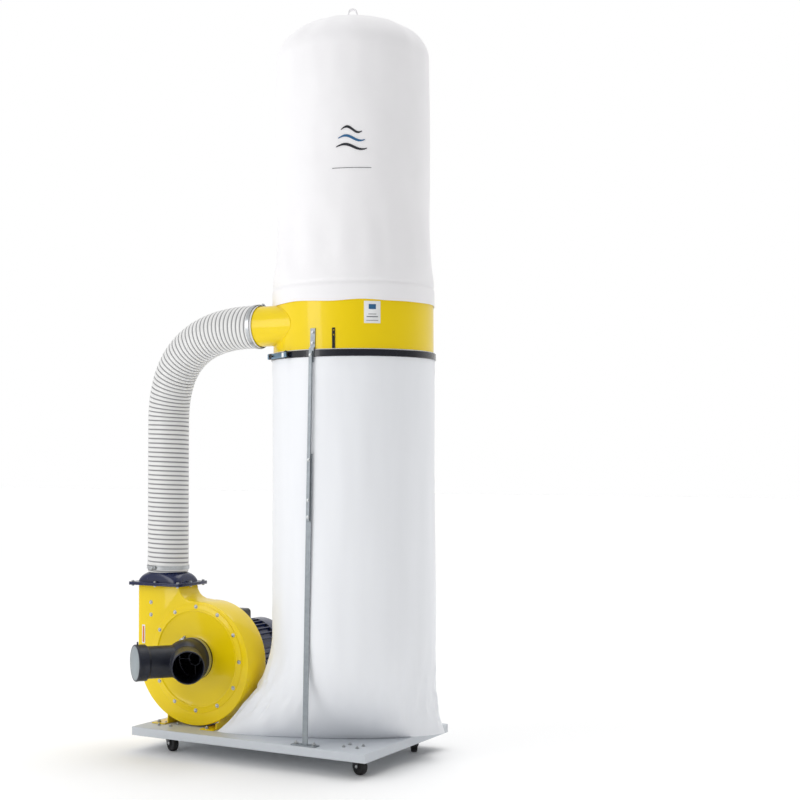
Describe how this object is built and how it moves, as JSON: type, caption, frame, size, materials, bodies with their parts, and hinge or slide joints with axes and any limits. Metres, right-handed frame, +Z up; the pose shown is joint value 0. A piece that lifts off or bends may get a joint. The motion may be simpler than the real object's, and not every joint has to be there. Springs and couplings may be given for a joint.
{
  "type": "dust collector",
  "caption": "Mobile dust collector: castered base, centrifugal fan with capped Y inlet, flexible duct, ring on legs, filter bag and collection bag.",
  "frame": {"origin": "on the floor, under the middle of the object's outline", "axes": "+Z up, +X along the base plate from the fan to the bags, -Y towards the fan's inlet side"},
  "size_m": [0.9728, 0.6816, 2.3433],
  "materials": {
    "painted_yellow": "semi-gloss powder coat",
    "painted_navy": "gloss paint",
    "deck_steel": "satin silver-grey powder coat",
    "pole_steel": "zinc plated",
    "zinc_steel": "bright zinc plate",
    "cast_alloy": "as cast",
    "inlet_plastic": "fine moulded texture",
    "cap_plastic": "fine moulded texture, grey face",
    "black_plastic": "satin moulded",
    "black_steel": "black gloss paint",
    "wheel_rubber": "satin",
    "filter_cloth": "white needle felt",
    "bag_film": "milky translucent film",
    "hose_plastic": "translucent grey-white film over a wire helix",
    "button_green": "gloss",
    "button_red": "gloss"
  },
  "bodies": {
    "stand": {"base_plate": "deck_steel", "filter_ring": "painted_yellow", "hanger_strip": "black_steel", "band_clamp": "black_steel", "collection_bag": "bag_film", "filter_bag": "filter_cloth", "hanging_loop": "filter_cloth", "fan_housing": "painted_yellow", "fan_front_cover": "painted_yellow", "inlet_guard": "inlet_plastic", "wye_inlet": "inlet_plastic", "fan_foot_left": "painted_yellow", "fan_foot_right": "painted_yellow", "duct_flange": "painted_navy", "outlet_hood": "painted_navy", "hose": "hose_plastic", "inlet_clamp": "zinc_steel", "hose_lower_clamp": "zinc_steel", "hose_upper_clamp": "zinc_steel", "motor_front_bell": "painted_navy", "motor_body": "painted_navy", "motor_rear_bell": "painted_navy", "fan_cowl": "painted_navy", "front_bearing": "zinc_steel", "rear_bearing": "zinc_steel", "stator": "cast_alloy", "switch_box": "black_plastic", "cable_gland": "black_plastic", "caster_plate_front_right": "zinc_steel", "caster_plate_front_left": "zinc_steel", "caster_plate_back_right": "zinc_steel", "caster_plate_back_left": "zinc_steel", "leg_bracket_front": "zinc_steel", "leg_upper_front": "pole_steel", "leg_lower_front": "pole_steel", "leg_bracket_back": "zinc_steel", "leg_upper_back": "pole_steel", "leg_lower_back": "pole_steel", "leg_bracket_inner": "zinc_steel", "leg_upper_inner": "pole_steel", "leg_lower_inner": "pole_steel"},
    "rotor": {"impeller": "cast_alloy", "motor_shaft": "zinc_steel", "rotor_core": "cast_alloy", "cooling_fan": "black_plastic"},
    "fork_front_right": {"caster_fork_front_right": "black_steel"},
    "wheel_front_right": {"caster_wheel_front_right": "wheel_rubber"},
    "fork_front_left": {"caster_fork_front_left": "black_steel"},
    "wheel_front_left": {"caster_wheel_front_left": "wheel_rubber"},
    "fork_back_right": {"caster_fork_back_right": "black_steel"},
    "wheel_back_right": {"caster_wheel_back_right": "wheel_rubber"},
    "fork_back_left": {"caster_fork_back_left": "black_steel"},
    "wheel_back_left": {"caster_wheel_back_left": "wheel_rubber"},
    "cap": {"inlet_cap": "cap_plastic"},
    "latch": {"band_latch": "zinc_steel"},
    "start": {"start_button": "button_green"},
    "stop": {"stop_button": "button_red"},
    "inlet_screw": {"inlet_clamp_screw": "zinc_steel"},
    "hose_lower_screw": {"hose_lower_clamp_screw": "zinc_steel"},
    "hose_upper_screw": {"hose_upper_clamp_screw": "zinc_steel"}
  },
  "joints": [
    {"name": "rotor_spin", "type": "hinge", "parent": "stand", "child": "rotor", "pos_m": [-0.23995, 0.06035, 0.292], "axis": [0, 1, 0], "continuous": true},
    {"name": "swivel_front_right", "type": "hinge", "parent": "stand", "child": "fork_front_right", "pos_m": [0.33505, -0.13765, 0.066], "axis": [0, 0, 1], "continuous": true},
    {"name": "roll_front_right", "type": "hinge", "parent": "fork_front_right", "child": "wheel_front_right", "pos_m": [0.36136, -0.14723, 0.025], "axis": [0.342, 0.9397, 0], "continuous": true},
    {"name": "swivel_front_left", "type": "hinge", "parent": "stand", "child": "fork_front_left", "pos_m": [-0.33495, -0.13765, 0.066], "axis": [0, 0, 1], "continuous": true},
    {"name": "roll_front_left", "type": "hinge", "parent": "fork_front_left", "child": "wheel_front_left", "pos_m": [-0.30957, -0.14949, 0.025], "axis": [0.4226, 0.9063, 0], "continuous": true},
    {"name": "swivel_back_right", "type": "hinge", "parent": "stand", "child": "fork_back_right", "pos_m": [0.33505, 0.25835, 0.066], "axis": [0, 0, 1], "continuous": true},
    {"name": "roll_back_right", "type": "hinge", "parent": "fork_back_right", "child": "wheel_back_right", "pos_m": [0.34947, 0.23435, 0.025], "axis": [0.8572, 0.515, 0], "continuous": true},
    {"name": "swivel_back_left", "type": "hinge", "parent": "stand", "child": "fork_back_left", "pos_m": [-0.33495, 0.25835, 0.066], "axis": [0, 0, 1], "continuous": true},
    {"name": "roll_back_left", "type": "hinge", "parent": "fork_back_left", "child": "wheel_back_left", "pos_m": [-0.36126, 0.24877, 0.025], "axis": [0.342, -0.9397, 0], "continuous": true},
    {"name": "cap_pull", "type": "slide", "parent": "stand", "child": "cap", "axis": [-0.6088, -0.7934, 0], "range_m": [0, 0.045]},
    {"name": "latch_lever", "type": "hinge", "parent": "stand", "child": "latch", "pos_m": [0.13354, -0.18976, 1.2375], "axis": [0, 0, 1], "range_deg": [0, 110]},
    {"name": "start_press", "type": "slide", "parent": "stand", "child": "start", "axis": [0, -1, 0], "range_m": [0, 0.003], "stiffness_N_per_m": 300},
    {"name": "stop_press", "type": "slide", "parent": "stand", "child": "stop", "axis": [0, -1, 0], "range_m": [0, 0.003], "stiffness_N_per_m": 300},
    {"name": "inlet_screw_turn", "type": "hinge", "parent": "stand", "child": "inlet_screw", "pos_m": [-0.2813, -0.13855, 0.35106], "axis": [0.8192, 0, 0.5736], "continuous": true},
    {"name": "hose_lower_screw_turn", "type": "hinge", "parent": "stand", "child": "hose_lower_screw", "pos_m": [-0.40082, -0.14073, 0.572], "axis": [0.9848, -0.1736, 0], "continuous": true},
    {"name": "hose_upper_screw_turn", "type": "hinge", "parent": "stand", "child": "hose_upper_screw", "pos_m": [-0.01345, -0.0736, 1.39817], "axis": [0, -0.866, 0.5], "continuous": true}
  ]
}
